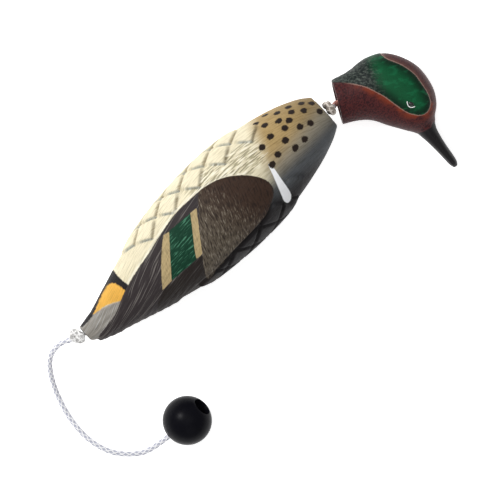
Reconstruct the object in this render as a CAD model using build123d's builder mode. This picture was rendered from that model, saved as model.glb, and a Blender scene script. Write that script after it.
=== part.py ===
"""A retriever training dummy in the shape of a teal drake, lying on its right side.

A moulded foam body is threaded on one braided rope. In front of the breast the rope carries a
free-swinging hard plastic head, and behind the tail it becomes a toss cord that ends in a ball.

Frame, in millimetres: +X runs along the body from the tail to the breast, +Y points to the belly
and +Z is up, which is the bird's left side. The origin is on the surface that the dummy lies on,
straight below the middle of the body, where its right wing touches that surface.
"""

import os
from math import copysign, cos, pi, radians, sin, sqrt, tan

from build123d import *

# Body ----------------------------------------------------------------------------------------
TAIL_TIP_X = -135.0  # where the body's stations are measured from
TAIL_X = -133.5  # the tail's blunt end
BREAST_X = 93.0  # the breast's flat front face
AXIS_Z = 40.0  # height of the body's long axis above the surface
ROUNDNESS = 2.3  # exponent of the body's cross-section, where 2 is an ellipse
SECTION_POINTS = 28
# along from the tail tip, centre towards the belly, half depth (belly to back), half width
BODY_STATIONS = [
    (1.5, 0.8, 6.6, 8.4),
    (9.0, -0.7, 9.2, 11.0),
    (31.0, -0.5, 15.9, 17.5),
    (59.0, 0.0, 24.6, 25.5),
    (87.0, 0.0, 31.2, 32.0),
    (115.0, 0.3, 34.4, 36.4),
    (140.0, 0.6, 35.2, 37.95),
    (165.0, 0.6, 33.4, 36.6),
    (190.0, 0.8, 28.8, 31.5),
    (210.0, 0.6, 22.8, 24.8),
    (222.0, 0.3, 17.4, 18.6),
    (228.0, 0.0, 13.4, 14.0),
]
WING_RELIEF = 2.0  # how far a folded wing stands out of the side
# the folded wing's outline, along from the tail tip and towards the belly, primaries first
WING_TIP = (14.0, -6.5)
WING_UPPER = [(46.0, 5.5), (84.0, 14.0), (112.0, 19.6), (136.0, 17.2), (156.0, 6.5)]
WING_SHOULDER = (166.5, -11.0)
WING_LOWER = [(158.0, -22.5), (134.0, -26.5), (98.0, -27.0), (58.0, -19.0)]

# Rope through the body -----------------------------------------------------------------------
ROPE_D = 3.8
ROPE_Y = 0.8  # the rope's height towards the belly inside the body
TUBE_D = 7.0
TUBE_BORE = 5.4
FLANGE_T = 1.6
FLANGE_PROUD = 0.4  # how far each grommet's flange stands out of the foam
BREAST_FLANGE_D = 17.0
TAIL_FLANGE_D = 11.0
COLLAR_LENGTH = 4.0  # of each grommet, from its flange to the end of the tube
GROMMET_BORE = 4.4
REST_GAP = 0.3  # between a knot and what it rests against, or the rope that turns beside it

# Knots, drawn up into balls ------------------------------------------------------------------
KNOT_R = 4.2
BREAST_KNOT = Vector(BREAST_X + FLANGE_PROUD + REST_GAP + KNOT_R, 0, AXIS_Z)
TAIL_KNOT = Vector(TAIL_X - FLANGE_PROUD - REST_GAP - KNOT_R, 2.0, AXIS_Z)

# Neck ----------------------------------------------------------------------------------------
NECK_HOLE = Vector(104.5, -1.3, 22.1)  # centre of the head's neck end, where the rope goes in
NECK_YAW = -28.2  # the neck's direction in plan, from +X
NECK_SLOPE = 2.0  # down towards the face
HEAD_ROLL = 11.0  # turns the bill down to the surface
PIVOT_OUT = 2.5  # from the neck end out to the point where the rope bends

# Head, in its own plane: along the neck, towards the crown --------------------------------------
# centre along, centre up, direction in degrees, half height, half width
CRANIUM_STATIONS = [
    (0.0, 0.0, 0, 16.0, 14.0),
    (12.0, 1.3, -1, 17.6, 14.6),
    (24.0, 2.4, -8, 21.6, 16.0),
    (35.3, -0.2, -17, 24.4, 17.4),
    (47.0, -8.5, -30, 22.8, 18.0),
    (56.0, -19.7, -41, 17.6, 16.4),
    (58.2, -27.6, -53, 12.4, 12.8),
    (56.6, -33.6, -64, 7.4, 9.0),
]
BILL_STATIONS = [
    (55.8, -31.5, -66, 6.6, 8.4),
    (57.2, -37.2, -66, 5.6, 7.9),
    (60.0, -44.0, -66, 4.3, 7.2),
    (63.2, -51.2, -66, 3.5, 7.4),
    (66.2, -57.8, -67, 3.0, 7.6),
    (68.2, -62.4, -69, 2.3, 6.4),
    (69.2, -65.0, -70, 1.2, 3.6),
]
HEAD_WALL = 2.6
PLUG_T = 4.0
PLUG_INSET = 1.0
PLUG_HALF_HEIGHT = 13.2
PLUG_HALF_WIDTH = 11.2
PLUG_LIP = 1.0  # how far the shells' grooves hold the plug's edge
PLUG_BORE = 5.2
WASHER_D = 12.0
WASHER_BORE = 4.4
WASHER_T = 1.5
POST_D = 5.0
PIN_D = 2.4
PIN_LENGTH = 3.0
PIN_FIT = 0.1
POST_PLACES = [(38.0, 12.0), (50.0, -20.0)]  # along, up

# Toss cord and ball ----------------------------------------------------------------------------
BALL_R = 17.3
BALL_CENTRE = Vector(-124.0, -91.7, BALL_R)
BALL_BORE = 5.0
BALL_PITCH = 25.0  # the bore's rise towards the recess
RECESS_D = 13.0
RECESS_DEPTH = 14.0
CORD_Z = 2.0  # height of the cord's middle where it lies on the surface
# the corners of the cord's route, from the tail down to the surface and round to the ball
CORD_CORNERS = [
    (-151.5, 8.6, 38.0),
    (-161.5, 7.4, 31.5),
    (-168.6, 1.2, 22.2),
    (-173.8, -6.6, 12.6),
    (-178.3, -16.0, 5.6),
    (-182.2, -28.0, 2.4),
    (-184.4, -41.5, CORD_Z),
    (-184.1, -55.2, CORD_Z),
    (-180.4, -68.4, CORD_Z),
    (-173.0, -79.4, CORD_Z),
]
ARC_SHARE = 0.45  # of the shorter run beside a corner, which its arc takes up


def superellipse(half_depth, half_width, grow=0.0):
    """Points round a body section, starting at the belly."""
    points = []
    for i in range(SECTION_POINTS):
        a = 2 * pi * i / SECTION_POINTS
        depth = (half_depth + grow) * copysign(abs(cos(a)) ** (2 / ROUNDNESS), cos(a))
        width = (half_width + grow) * copysign(abs(sin(a)) ** (2 / ROUNDNESS), sin(a))
        points.append((depth, width))
    return points


def body_section(station, grow=0.0):
    """One cross-section of the body, square to its long axis."""
    along, middle, half_depth, half_width = station
    centre = (TAIL_TIP_X + along, middle, AXIS_Z)
    with BuildSketch(Plane(origin=centre, x_dir=(0, 1, 0), z_dir=(1, 0, 0))) as section:
        with BuildLine():
            Spline(*superellipse(half_depth, half_width, grow), periodic=True)
        make_face()
    return section.sketch


def disc(centre, direction, radius):
    """A round face square to a direction."""
    with BuildSketch(Plane(origin=centre, z_dir=direction)) as face:
        Circle(radius)
    return face.sketch


# The head's own frame: X along the neck, Y towards the crown, Z across to the side that is up
head_place = (
    Location(NECK_HOLE)
    * Location((0, 0, 0), (0, 0, NECK_YAW))
    * Location((0, 0, 0), (0, NECK_SLOPE, 0))
    * Location((0, 0, 0), (HEAD_ROLL, 0, 0))
)
head_plane = Plane(head_place)
neck_way = head_plane.x_dir
crown_way = head_plane.y_dir
side_way = head_plane.z_dir


def head_point(along, up, side=0.0):
    """A point given in the head's own frame."""
    return NECK_HOLE + neck_way * along + crown_way * up + side_way * side


def head_section(station, inset=0.0):
    """An oval cross-section of the head, square to its curved middle line."""
    along, up, turn, half_height, half_width = station
    ahead = neck_way * cos(radians(turn)) + crown_way * sin(radians(turn))
    upwards = crown_way * cos(radians(turn)) - neck_way * sin(radians(turn))
    with BuildSketch(Plane(origin=head_point(along, up), x_dir=upwards, z_dir=ahead)) as section:
        Ellipse(half_height - inset, half_width - inset)
    return section.sketch


def oval(along, half_height, half_width):
    """An oval square to the neck, at a distance from the neck end."""
    plane = Plane(origin=head_point(along, 0), x_dir=crown_way, z_dir=neck_way)
    with BuildSketch(plane) as section:
        Ellipse(half_height, half_width)
    return section.sketch


def hollow_head():
    """Both halves of the head in one: cranium and bill outside, cavity and plug seat inside."""
    cavity = [s for s in CRANIUM_STATIONS if PLUG_INSET + PLUG_T < s[0] < 57 and s[2] > -50]
    lip_height = PLUG_HALF_HEIGHT - PLUG_LIP
    lip_width = PLUG_HALF_WIDTH - PLUG_LIP
    with BuildPart() as head:
        loft(sections=[head_section(s) for s in CRANIUM_STATIONS])
        loft(sections=[head_section(s) for s in BILL_STATIONS])
        extrude(oval(0, lip_height, lip_width), amount=PLUG_INSET, mode=Mode.SUBTRACT)
        extrude(
            oval(PLUG_INSET, PLUG_HALF_HEIGHT, PLUG_HALF_WIDTH), amount=PLUG_T, mode=Mode.SUBTRACT
        )
        loft(
            sections=[oval(PLUG_INSET + PLUG_T, lip_height, lip_width)]
            + [head_section(s, HEAD_WALL) for s in cavity],
            mode=Mode.SUBTRACT,
        )
        for along, up in POST_PLACES:
            post = Plane(origin=head_point(along, up, -14), x_dir=neck_way, z_dir=side_way)
            with BuildSketch(post):
                Circle(POST_D / 2)
            extrude(amount=28)
    return head.part


# Foam body: one moulding, with the two folded wings in relief -----------------------------------
with BuildSketch(Plane.XY.offset(AXIS_Z)) as wing_outline:
    with BuildLine():
        upper = Spline(*[(TAIL_TIP_X + x, y) for x, y in [WING_TIP, *WING_UPPER, WING_SHOULDER]])
        Spline(upper @ 1, *[(TAIL_TIP_X + x, y) for x, y in WING_LOWER], upper @ 0)
    make_face()

rope_start = Vector(TAIL_X, ROPE_Y, AXIS_Z)
rope_end = Vector(BREAST_X, ROPE_Y, AXIS_Z)
ahead = Vector(1, 0, 0)
body_length = BREAST_X - TAIL_X
recess = FLANGE_T - FLANGE_PROUD

with BuildPart() as foam_body:
    loft(sections=[body_section(s, WING_RELIEF) for s in BODY_STATIONS[1:-1]])
    extrude(wing_outline.sketch, amount=2 * AXIS_Z, both=True, mode=Mode.INTERSECT)
    loft(sections=[body_section(s) for s in BODY_STATIONS])
    extrude(disc(rope_start, ahead, TUBE_D / 2), amount=body_length, mode=Mode.SUBTRACT)
    extrude(disc(rope_start, ahead, TAIL_FLANGE_D / 2), amount=recess, mode=Mode.SUBTRACT)
    extrude(disc(rope_end, -ahead, BREAST_FLANGE_D / 2), amount=recess, mode=Mode.SUBTRACT)
foam_body.part.label = "foam_body"

# What the rope runs through ----------------------------------------------------------------------
tube_inset = recess + COLLAR_LENGTH
tube_start = rope_start + ahead * tube_inset
with BuildPart() as core_tube:
    extrude(disc(tube_start, ahead, TUBE_D / 2), amount=body_length - 2 * tube_inset)
    extrude(disc(tube_start, ahead, TUBE_BORE / 2), amount=body_length, mode=Mode.SUBTRACT)
core_tube.part.label = "core_tube"


def grommet(face, inward, flange_d):
    """A flanged bush: its flange lies in the foam's recess and its collar meets the tube."""
    outside = face - inward * FLANGE_PROUD
    with BuildPart() as bush:
        extrude(disc(outside, inward, flange_d / 2), amount=FLANGE_T)
        extrude(disc(outside, inward, TUBE_D / 2), amount=FLANGE_T + COLLAR_LENGTH)
        extrude(disc(outside, inward, GROMMET_BORE / 2), amount=12, mode=Mode.SUBTRACT)
    return bush.part


tail_grommet = grommet(rope_start, ahead, TAIL_FLANGE_D)
tail_grommet.label = "tail_grommet"
breast_grommet = grommet(rope_end, -ahead, BREAST_FLANGE_D)
breast_grommet.label = "breast_grommet"

# The rope in the body, ending flush with both grommets
with BuildPart() as body_rope:
    outer_length = body_length + 2 * FLANGE_PROUD
    extrude(disc(rope_start - ahead * FLANGE_PROUD, ahead, ROPE_D / 2), amount=outer_length)
body_rope.part.label = "body_rope"

with BuildPart() as breast_knot:
    with Locations(BREAST_KNOT):
        Sphere(KNOT_R)
breast_knot.part.label = "breast_knot"

with BuildPart() as tail_knot:
    with Locations(TAIL_KNOT):
        Sphere(KNOT_R)
tail_knot.part.label = "tail_knot"

# Neck: the rope from the breast knot to where it bends, then into the head --------------------------
pivot = head_point(-PIVOT_OUT, 0)
neck_line = (pivot - BREAST_KNOT).normalized()
neck_start = BREAST_KNOT + neck_line * (KNOT_R + REST_GAP)
neck_stop = pivot - neck_line * (ROPE_D / 2 + REST_GAP)
with BuildPart() as neck_rope:
    extrude(disc(neck_start, neck_line, ROPE_D / 2), amount=(neck_stop - neck_start).length)
neck_rope.part.label = "neck_rope"

flat_to_centre = sqrt(KNOT_R**2 - (ROPE_D / 2) ** 2)
washer_start = PLUG_INSET + PLUG_T + REST_GAP
knot_along = washer_start + WASHER_T + KNOT_R
with BuildPart() as head_rope:
    with Locations(pivot):
        Sphere(ROPE_D / 2)
    extrude(disc(pivot, neck_way, ROPE_D / 2), amount=PIVOT_OUT + knot_along - flat_to_centre)
head_rope.part.label = "head_rope"

with BuildPart() as head_washer:
    extrude(disc(head_point(washer_start, 0), neck_way, WASHER_D / 2), amount=WASHER_T)
    extrude(
        disc(head_point(washer_start, 0), neck_way, WASHER_BORE / 2),
        amount=WASHER_T,
        mode=Mode.SUBTRACT,
    )
head_washer.part.label = "head_washer"


def tied_knot(centre, towards_rope):
    """A knot with a flat where its own rope comes out."""
    flat = Plane(origin=centre + towards_rope * flat_to_centre, z_dir=towards_rope)
    with BuildPart() as ball:
        with Locations(centre):
            Sphere(KNOT_R)
        split(bisect_by=flat, keep=Keep.BOTTOM)
    return ball.part


head_knot = tied_knot(head_point(knot_along, 0), -neck_way)
head_knot.label = "head_knot"

# Head: two glued halves and the plug in its neck ---------------------------------------------------
middle = Plane(origin=NECK_HOLE, x_dir=neck_way, z_dir=side_way)
whole_head = hollow_head()


def post_disc(place, side, direction, radius):
    """The round end of a locating pin or of its socket."""
    return disc(head_point(*place, side), direction, radius)


with BuildPart() as head_shell_right:
    add(whole_head)
    split(bisect_by=middle, keep=Keep.TOP)
    for place in POST_PLACES:
        hole = post_disc(place, 0, side_way, PIN_D / 2 + PIN_FIT)
        extrude(hole, amount=PIN_LENGTH + 1, mode=Mode.SUBTRACT)
head_shell_right.part.label = "head_shell_right"

with BuildPart() as head_shell_left:
    add(whole_head)
    split(bisect_by=middle, keep=Keep.BOTTOM)
    for place in POST_PLACES:
        extrude(post_disc(place, -1, side_way, PIN_D / 2), amount=PIN_LENGTH + 1)
head_shell_left.part.label = "head_shell_left"

with BuildPart() as neck_plug:
    extrude(oval(PLUG_INSET, PLUG_HALF_HEIGHT, PLUG_HALF_WIDTH), amount=PLUG_T)
    extrude(disc(NECK_HOLE, neck_way, PLUG_BORE / 2), amount=10, mode=Mode.SUBTRACT)
neck_plug.part.label = "neck_plug"

# Ball: bored through, with a recess for the knot -----------------------------------------------------
bore_way = Vector(cos(radians(BALL_PITCH)), 0, sin(radians(BALL_PITCH)))
recess_seat = BALL_CENTRE + bore_way * (BALL_R - RECESS_DEPTH)
with BuildPart() as toss_ball:
    with Locations(BALL_CENTRE):
        Sphere(BALL_R)
    bore_start = BALL_CENTRE - bore_way * (BALL_R + 1)
    extrude(disc(bore_start, bore_way, BALL_BORE / 2), amount=50, mode=Mode.SUBTRACT)
    extrude(disc(recess_seat, bore_way, RECESS_D / 2), amount=30, mode=Mode.SUBTRACT)
toss_ball.part.label = "toss_ball"

ball_knot_centre = recess_seat + bore_way * (REST_GAP + KNOT_R)
ball_knot = tied_knot(ball_knot_centre, -bore_way)
ball_knot.label = "ball_knot"

# Toss cord: along its route, into the ball's bore and up to the knot -----------------------------------
corners = [Vector(*c) for c in CORD_CORNERS]
corners.append(BALL_CENTRE - bore_way * ((BALL_R - CORD_Z) / bore_way.Z))
cord_start = TAIL_KNOT + (corners[0] - TAIL_KNOT).normalized() * (KNOT_R + REST_GAP)
cord_stop = ball_knot_centre - bore_way * flat_to_centre
route = [cord_start, *corners, cord_stop]
radii = []
for before, corner, after in zip(route, route[1:], route[2:]):
    turn = radians((corner - before).get_angle(after - corner))
    run = min((corner - before).length, (after - corner).length)
    radii.append(ARC_SHARE * run / tan(turn / 2))
with BuildPart() as toss_cord:
    with BuildLine() as cord_line:
        FilletPolyline(*route, radius=radii)
    with BuildSketch(Plane(origin=cord_start, z_dir=corners[0] - cord_start)):
        Circle(ROPE_D / 2)
    sweep()
toss_cord.part.label = "toss_cord"
print("cord radii", [round(r, 1) for r in radii])
cord_length = sum(edge.length for edge in cord_line.line.edges())
cord_volume = pi * (ROPE_D / 2) ** 2 * cord_length
print("cord length", round(cord_length, 2), "volume", round(toss_cord.part.volume / cord_volume, 5))

os.makedirs("parts", exist_ok=True)
parts = [
    foam_body.part,
    core_tube.part,
    tail_grommet,
    breast_grommet,
    body_rope.part,
    breast_knot.part,
    neck_rope.part,
    head_rope.part,
    head_washer.part,
    head_knot,
    head_shell_right.part,
    head_shell_left.part,
    neck_plug.part,
    tail_knot.part,
    toss_cord.part,
    ball_knot,
    toss_ball.part,
]
for part in parts:
    export_step(part, f"parts/{part.label}.step")
    box = part.bounding_box()
    low = [round(v, 2) for v in box.min]
    high = [round(v, 2) for v in box.max]
    print(part.label, round(part.volume), len(part.solids()), part.is_valid, low, high)
print("breast knot", BREAST_KNOT, "tail knot", TAIL_KNOT, "pivot", pivot)
print("neck line", neck_line, "neck way", neck_way, "side way", side_way)
print("neck lift axis", ahead.cross(neck_line).normalized())
print("head bend axis", neck_line.cross(neck_way).normalized())
print("angles", ahead.get_angle(neck_line), neck_line.get_angle(neck_way))
print("ball bore", bore_way, "route", [tuple(round(v, 2) for v in p) for p in route])
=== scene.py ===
"""Training duck: a painted foam body, a swinging hollow head, and a toss cord with a bored ball.

Every size is in millimetres in the classes below and is turned to metres where a mesh is laid.
"""

import logging
import math
from dataclasses import dataclass
from enum import Enum
import bpy
import numpy as np
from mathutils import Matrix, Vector, noise
from mathutils.bvhtree import BVHTree


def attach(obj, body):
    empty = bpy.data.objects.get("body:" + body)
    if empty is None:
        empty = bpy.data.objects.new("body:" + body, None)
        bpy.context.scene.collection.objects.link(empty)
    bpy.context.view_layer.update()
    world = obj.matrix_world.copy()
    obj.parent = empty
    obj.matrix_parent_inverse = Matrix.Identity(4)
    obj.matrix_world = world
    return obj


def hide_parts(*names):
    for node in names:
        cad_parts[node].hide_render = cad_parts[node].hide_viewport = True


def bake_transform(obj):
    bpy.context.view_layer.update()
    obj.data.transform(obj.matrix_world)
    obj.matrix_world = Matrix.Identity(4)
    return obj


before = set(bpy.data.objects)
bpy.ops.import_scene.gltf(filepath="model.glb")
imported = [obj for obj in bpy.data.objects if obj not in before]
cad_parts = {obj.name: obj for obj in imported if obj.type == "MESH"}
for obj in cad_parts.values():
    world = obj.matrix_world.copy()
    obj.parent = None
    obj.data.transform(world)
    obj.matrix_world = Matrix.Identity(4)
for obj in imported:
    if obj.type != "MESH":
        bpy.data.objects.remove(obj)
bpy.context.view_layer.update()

MM = 0.001  # a millimetre in metres
FLOOR_GAP = 0.02  # millimetres between the floor and the lowest skin
MERGE_GAP = 2e-7  # metres within which the points of a seam are one
CORNER_CUT = 0.22  # share of a side that is cut at each corner of a rounded outline
TINY = 1e-12
FAR = 1e9
SKIN_MARK = "skin"
LOG = logging.getLogger("training_duck")

Outline = tuple[tuple[float, float], ...]
Colour = tuple[float, float, float]
Place = tuple[float, float, float]
Socket = bpy.types.NodeSocket


class Body(Enum):
    """The moving bodies that pieces ride on."""

    DUCK = "duck_body"
    BREAST = "breast_swivel"
    NECK = "neck_link"
    HEAD_END = "head_end"
    HEAD = "head"
    TAIL = "tail_swivel"
    LINE = "toss_line"
    BALL = "ball"


class Slot(Enum):
    """The record's material slots; no piece here is given one."""

    FOAM = "painted_foam"
    ROPE = "white_rope"
    HEAD = "painted_head"
    BALL = "ball_plastic"


# --------------------------------------------------------------------------- shapes


def as_unit(vectors: np.ndarray) -> np.ndarray:
    """Return the vectors at length one."""
    return vectors / np.maximum(np.linalg.norm(vectors, axis=-1, keepdims=True), TINY)


def soft_step(low: float, high: float, value: np.ndarray) -> np.ndarray:
    """Rise smoothly from 0 at low to 1 at high.

    Args:
        low: value where the step starts.
        high: value where it is complete; it may be the smaller of the two.
        value: the numbers to step.

    Returns:
        Numbers from 0 to 1.
    """
    share = np.clip((value - low) / (high - low), 0, 1)
    return share * share * (3 - 2 * share)


def flow_through(knots: np.ndarray, values: np.ndarray, places: np.ndarray) -> np.ndarray:
    """Run one smooth line through stations.

    Args:
        knots: the stations' places, rising.
        values: one row of sizes for each station.
        places: where the sizes are wanted.

    Returns:
        One row of sizes for each place.
    """
    slopes = np.gradient(values, knots, axis=0)
    left = np.clip(np.searchsorted(knots, places) - 1, 0, len(knots) - 2)
    gap = (knots[left + 1] - knots[left])[:, None]
    t = (places - knots[left])[:, None] / gap
    return (
        values[left] * (1 + 2 * t) * (1 - t) ** 2
        + slopes[left] * gap * t * (1 - t) ** 2
        + values[left + 1] * t * t * (3 - 2 * t)
        + slopes[left + 1] * gap * t * t * (t - 1)
    )


def depth_inside(x: np.ndarray, y: np.ndarray, outline: Outline) -> np.ndarray:
    """Measure how far points lie inside a closed outline.

    Args:
        x: the points' first coordinates, in mm.
        y: their second coordinates, in mm.
        outline: the corners, in order.

    Returns:
        Distance to the outline in mm, negative outside it.
    """
    corners = np.asarray(outline, float)
    nearest = np.full(x.shape, FAR)
    inside = np.zeros(x.shape, bool)
    for (ax, ay), (bx, by) in zip(corners, np.roll(corners, -1, axis=0)):
        run, rise = bx - ax, by - ay
        share = np.clip(((x - ax) * run + (y - ay) * rise) / (run * run + rise * rise), 0, 1)
        nearest = np.minimum(nearest, np.hypot(x - ax - share * run, y - ay - share * rise))
        if rise:
            inside ^= ((ay > y) != (by > y)) & (x < run * (y - ay) / rise + ax)
    return np.where(inside, nearest, -nearest)


def rounded(outline: Outline, times: int = 2) -> Outline:
    """Cut an outline's corners until it runs smoothly.

    Args:
        outline: the corners, in order.
        times: how many times the corners are cut.

    Returns:
        The smoother outline.
    """
    corners = np.asarray(outline, float)
    for _ in range(times):
        ahead = np.roll(corners, -1, axis=0)
        step = (ahead - corners) * CORNER_CUT
        corners = np.stack([corners + step, ahead - step], 1).reshape(-1, 2)
    return tuple(map(tuple, corners))


def grain(points: np.ndarray, size: Place, turn: float = 0.0) -> np.ndarray:
    """Sample smooth noise whose grains are stretched along one way in plan.

    Args:
        points: places in mm, in the last axis.
        size: a grain's length, width and height in mm.
        turn: the grain's direction from X, in degrees.

    Returns:
        Numbers from about -1 to 1, one a point.
    """
    c, s = math.cos(math.radians(turn)), math.sin(math.radians(turn))
    flat = points.reshape(-1, 3)
    x, y, z = flat.T
    turned = np.stack([x * c + y * s, y * c - x * s, z], 1) / np.asarray(size)
    values = np.fromiter((noise.noise(p) for p in turned.tolist()), float, len(turned))
    return values.reshape(points.shape[:-1])


def round_angles(sides: int) -> np.ndarray:
    """Return evenly spaced angles round a ring."""
    return np.linspace(0, math.tau, sides, endpoint=False)


def run_along(line: np.ndarray) -> np.ndarray:
    """Return how far a line has run at each of its points."""
    steps = np.linalg.norm(np.diff(line, axis=0), axis=1)
    return np.concatenate([[0], np.cumsum(steps)])


def lay_over(under: np.ndarray, share: np.ndarray, colour: Colour) -> np.ndarray:
    """Lay a colour over others by a share."""
    return under + (np.array(colour) - under) * share[..., None]


def outward_ways(rings: np.ndarray) -> np.ndarray:
    """Return the outward direction at each point of a rolled grid of rings.

    Args:
        rings: rows x sides x 3 places in mm.

    Returns:
        One unit vector a point.
    """
    around = np.roll(rings, -1, axis=1) - np.roll(rings, 1, axis=1)
    ways = as_unit(np.cross(around, np.gradient(rings, axis=0)))
    spokes = rings - rings.mean(axis=1, keepdims=True)
    return ways * np.where((ways * spokes).sum() < 0, -1.0, 1.0)


def start_afresh() -> None:
    """Leave edit mode with nothing selected."""
    if bpy.context.object and bpy.context.object.mode != "OBJECT":
        bpy.ops.object.mode_set(mode="OBJECT")
    bpy.ops.object.select_all(action="DESELECT")


def close_up(piece: bpy.types.Object, angle: float) -> None:
    """Merge a piece's seam, fill its open ends, point its faces out and smooth it.

    Args:
        piece: the active mesh object.
        angle: edges sharper than this many degrees stay sharp.
    """
    bpy.ops.object.mode_set(mode="EDIT")
    bpy.ops.mesh.select_all(action="SELECT")
    bpy.ops.mesh.remove_doubles(threshold=MERGE_GAP)
    bpy.ops.mesh.select_all(action="SELECT")
    bpy.ops.mesh.fill_holes(sides=0)
    bpy.ops.mesh.select_all(action="SELECT")
    bpy.ops.mesh.normals_make_consistent(inside=False)
    bpy.ops.object.mode_set(mode="OBJECT")
    bpy.ops.object.shade_smooth_by_angle(angle=math.radians(angle))
    piece.select_set(False)


def rolled_tube(
    name: str, rings: np.ndarray, marks: dict[str, np.ndarray] | None = None, angle: float = 60
) -> bpy.types.Object:
    """Roll a grid into a closed tube over rings of points.

    Args:
        name: the piece's name.
        rings: rows x sides x 3 places in mm; each row is one ring.
        marks: rows x sides numbers, or rows x sides x 3 colours, kept as attributes.
        angle: edges sharper than this many degrees stay sharp.

    Returns:
        The finished mesh object.
    """
    rows, sides = rings.shape[:2]
    start_afresh()
    bpy.ops.mesh.primitive_grid_add(x_subdivisions=rows - 1, y_subdivisions=sides, size=1)
    piece = bpy.context.object
    piece.name = piece.data.name = name
    flat = np.empty(len(piece.data.vertices) * 3)
    piece.data.vertices.foreach_get("co", flat)
    flat = flat.reshape(-1, 3)
    row = np.rint((flat[:, 0] + 0.5) * (rows - 1)).astype(int)
    side = np.rint((flat[:, 1] + 0.5) * sides).astype(int) % sides
    piece.data.vertices.foreach_set("co", (rings[row, side] * MM).ravel())
    for mark, values in (marks or {}).items():
        if mark == SKIN_MARK:
            kept = piece.data.attributes.new(mark, "FLOAT_VECTOR", "POINT")
            kept.data.foreach_set("vector", (values[row, side] * MM).ravel())
        elif values.ndim == 3:
            kept = piece.data.attributes.new(mark, "FLOAT_COLOR", "POINT")
            rgba = np.ones((len(row), 4))
            rgba[:, :3] = values[row, side]
            kept.data.foreach_set("color", rgba.ravel())
        else:
            kept = piece.data.attributes.new(mark, "FLOAT", "POINT")
            kept.data.foreach_set("value", values[row, side].astype(np.float32))
    close_up(piece, angle)
    return piece


def lathe(
    name: str, profile: Outline, centre: Vector, axis: Vector, steps: int, angle: float = 35
) -> bpy.types.Object:
    """Spin a closed profile into a bored solid.

    Args:
        name: the piece's name.
        profile: (radius, height along the axis) corners in mm, in order.
        centre: the place of height 0, in mm.
        axis: the spin axis.
        steps: segments round.
        angle: edges sharper than this many degrees stay sharp.

    Returns:
        The finished mesh object.
    """
    start_afresh()
    bpy.ops.mesh.primitive_circle_add(vertices=len(profile))
    piece = bpy.context.object
    piece.name = piece.data.name = name
    side = axis.orthogonal().normalized()
    for vertex, (radius, height) in zip(piece.data.vertices, profile):
        vertex.co = (centre + side * radius + axis * height) * MM
    bpy.ops.object.mode_set(mode="EDIT")
    bpy.ops.mesh.select_all(action="SELECT")
    bpy.ops.mesh.spin(steps=steps, angle=math.tau, center=centre * MM, axis=axis)
    close_up(piece, angle)
    return piece


def spline_line(name: str, points: list[Place]) -> np.ndarray:
    """Read the points of a smooth NURBS line through a rope's route.

    Args:
        name: name for the curve while it exists.
        points: control points in metres.

    Returns:
        The line's points in metres.
    """
    start_afresh()
    data = bpy.data.curves.new(name, "CURVE")
    data.dimensions = "3D"
    data.resolution_u = 40
    line = data.splines.new("NURBS")
    line.points.add(len(points) - 1)
    for control, place in zip(line.points, points):
        control.co = (*place, 1.0)
    line.order_u = 3
    line.use_endpoint_u = True
    curve = bpy.data.objects.new(name, data)
    bpy.context.collection.objects.link(curve)
    bpy.context.view_layer.update()
    shown = curve.evaluated_get(bpy.context.evaluated_depsgraph_get())
    mesh = bpy.data.meshes.new_from_object(shown)
    places = np.array([v.co for v in mesh.vertices], float)
    bpy.data.meshes.remove(mesh)
    bpy.data.objects.remove(curve)
    bpy.data.curves.remove(data)
    return places


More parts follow.
